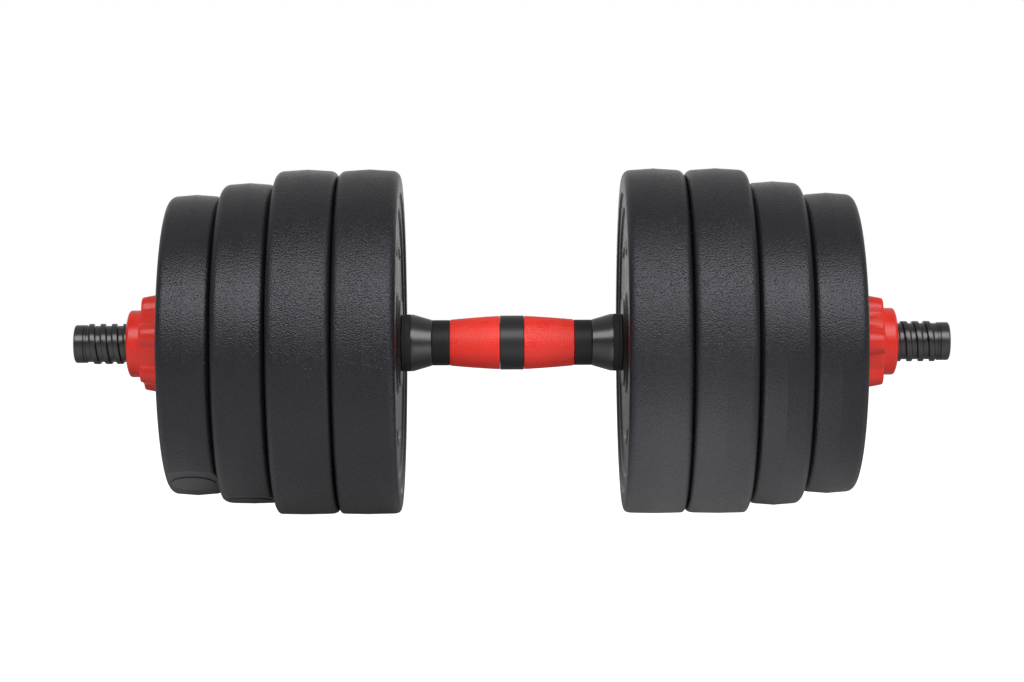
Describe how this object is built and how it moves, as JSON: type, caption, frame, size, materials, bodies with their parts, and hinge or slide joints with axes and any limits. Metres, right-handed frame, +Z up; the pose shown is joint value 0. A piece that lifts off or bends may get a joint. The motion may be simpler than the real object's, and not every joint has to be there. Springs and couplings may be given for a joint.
{
  "type": "adjustable dumbbell",
  "caption": "Adjustable dumbbell: a jacketed steel bar with a barrel grip and screw-thread ends, round concrete-filled plates stacked on each side, and lobed nuts that clamp them.",
  "frame": {"origin": "on the floor under the middle of the grip, halfway along the bar", "axes": "+X along the bar to the right end, +Y to the back, +Z up; the bar's axis is 96.7 mm above the floor"},
  "size_m": [0.5, 0.1988, 0.1961],
  "materials": {
    "bar_steel": "satin",
    "bar_plastic": "satin",
    "grip_red": "satin",
    "pad_rubber": "matte",
    "nut_red": "satin",
    "plate_plastic": "matte",
    "plug_plastic": "satin",
    "concrete": "matte"
  },
  "bodies": {
    "bar": {"bar_tube": "bar_steel", "left_thread_sleeve": "bar_plastic", "right_thread_sleeve": "bar_plastic", "grip_core": "bar_plastic", "left_grip_sleeve": "grip_red", "right_grip_sleeve": "grip_red", "left_stop_collar": "bar_plastic", "right_stop_collar": "bar_plastic", "left_collar_pad": "pad_rubber", "right_collar_pad": "pad_rubber"},
    "left_inner_large_plate": {"left_inner_large_shell": "plate_plastic", "left_inner_large_filling": "concrete", "left_inner_large_plug": "plug_plastic"},
    "left_outer_large_plate": {"left_outer_large_shell": "plate_plastic", "left_outer_large_filling": "concrete", "left_outer_large_plug": "plug_plastic"},
    "left_medium_plate": {"left_medium_shell": "plate_plastic", "left_medium_filling": "concrete", "left_medium_plug": "plug_plastic"},
    "left_small_plate": {"left_small_shell": "plate_plastic", "left_small_filling": "concrete", "left_small_plug": "plug_plastic"},
    "left_washer_ring": {"left_washer": "pad_rubber"},
    "left_nut": {"left_star_nut": "nut_red"},
    "right_inner_large_plate": {"right_inner_large_shell": "plate_plastic", "right_inner_large_filling": "concrete", "right_inner_large_plug": "plug_plastic"},
    "right_outer_large_plate": {"right_outer_large_shell": "plate_plastic", "right_outer_large_filling": "concrete", "right_outer_large_plug": "plug_plastic"},
    "right_medium_plate": {"right_medium_shell": "plate_plastic", "right_medium_filling": "concrete", "right_medium_plug": "plug_plastic"},
    "right_small_plate": {"right_small_shell": "plate_plastic", "right_small_filling": "concrete", "right_small_plug": "plug_plastic"},
    "right_washer_ring": {"right_washer": "pad_rubber"},
    "right_nut": {"right_star_nut": "nut_red"}
  },
  "joints": [
    {"name": "left_nut_turn", "type": "hinge", "parent": "left_washer_ring", "child": "left_nut", "pos_m": [-0.2, 0, 0.0967], "axis": [-1, 0, 0], "range_deg": [0, 2520.01]},
    {"name": "left_washer_slide", "type": "slide", "parent": "bar", "child": "left_washer_ring", "axis": [-1, 0, 0], "range_m": [0, 0.0455]},
    {"name": "left_inner_large_slide", "type": "slide", "parent": "bar", "child": "left_inner_large_plate", "axis": [-1, 0, 0], "range_m": [0, 0.0091]},
    {"name": "left_outer_large_slide", "type": "slide", "parent": "bar", "child": "left_outer_large_plate", "axis": [-1, 0, 0], "range_m": [0, 0.0182]},
    {"name": "left_medium_slide", "type": "slide", "parent": "bar", "child": "left_medium_plate", "axis": [-1, 0, 0], "range_m": [0, 0.0273]},
    {"name": "left_small_slide", "type": "slide", "parent": "bar", "child": "left_small_plate", "axis": [-1, 0, 0], "range_m": [0, 0.0364]},
    {"name": "right_nut_turn", "type": "hinge", "parent": "right_washer_ring", "child": "right_nut", "pos_m": [0.2, 0, 0.0967], "axis": [1, 0, 0], "range_deg": [0, 2520.01]},
    {"name": "right_washer_slide", "type": "slide", "parent": "bar", "child": "right_washer_ring", "axis": [1, 0, 0], "range_m": [0, 0.0455]},
    {"name": "right_inner_large_slide", "type": "slide", "parent": "bar", "child": "right_inner_large_plate", "axis": [1, 0, 0], "range_m": [0, 0.0091]},
    {"name": "right_outer_large_slide", "type": "slide", "parent": "bar", "child": "right_outer_large_plate", "axis": [1, 0, 0], "range_m": [0, 0.0182]},
    {"name": "right_medium_slide", "type": "slide", "parent": "bar", "child": "right_medium_plate", "axis": [1, 0, 0], "range_m": [0, 0.0273]},
    {"name": "right_small_slide", "type": "slide", "parent": "bar", "child": "right_small_plate", "axis": [1, 0, 0], "range_m": [0, 0.0364]}
  ],
  "couplings": [
    {"joint": "left_nut_turn", "follows": "left_washer_slide", "rad_per_m": 966.64},
    {"joint": "left_inner_large_slide", "follows": "left_washer_slide", "ratio": 0.2},
    {"joint": "left_outer_large_slide", "follows": "left_washer_slide", "ratio": 0.4},
    {"joint": "left_medium_slide", "follows": "left_washer_slide", "ratio": 0.6},
    {"joint": "left_small_slide", "follows": "left_washer_slide", "ratio": 0.8},
    {"joint": "right_nut_turn", "follows": "right_washer_slide", "rad_per_m": 966.64},
    {"joint": "right_inner_large_slide", "follows": "right_washer_slide", "ratio": 0.2},
    {"joint": "right_outer_large_slide", "follows": "right_washer_slide", "ratio": 0.4},
    {"joint": "right_medium_slide", "follows": "right_washer_slide", "ratio": 0.6},
    {"joint": "right_small_slide", "follows": "right_washer_slide", "ratio": 0.8}
  ]
}
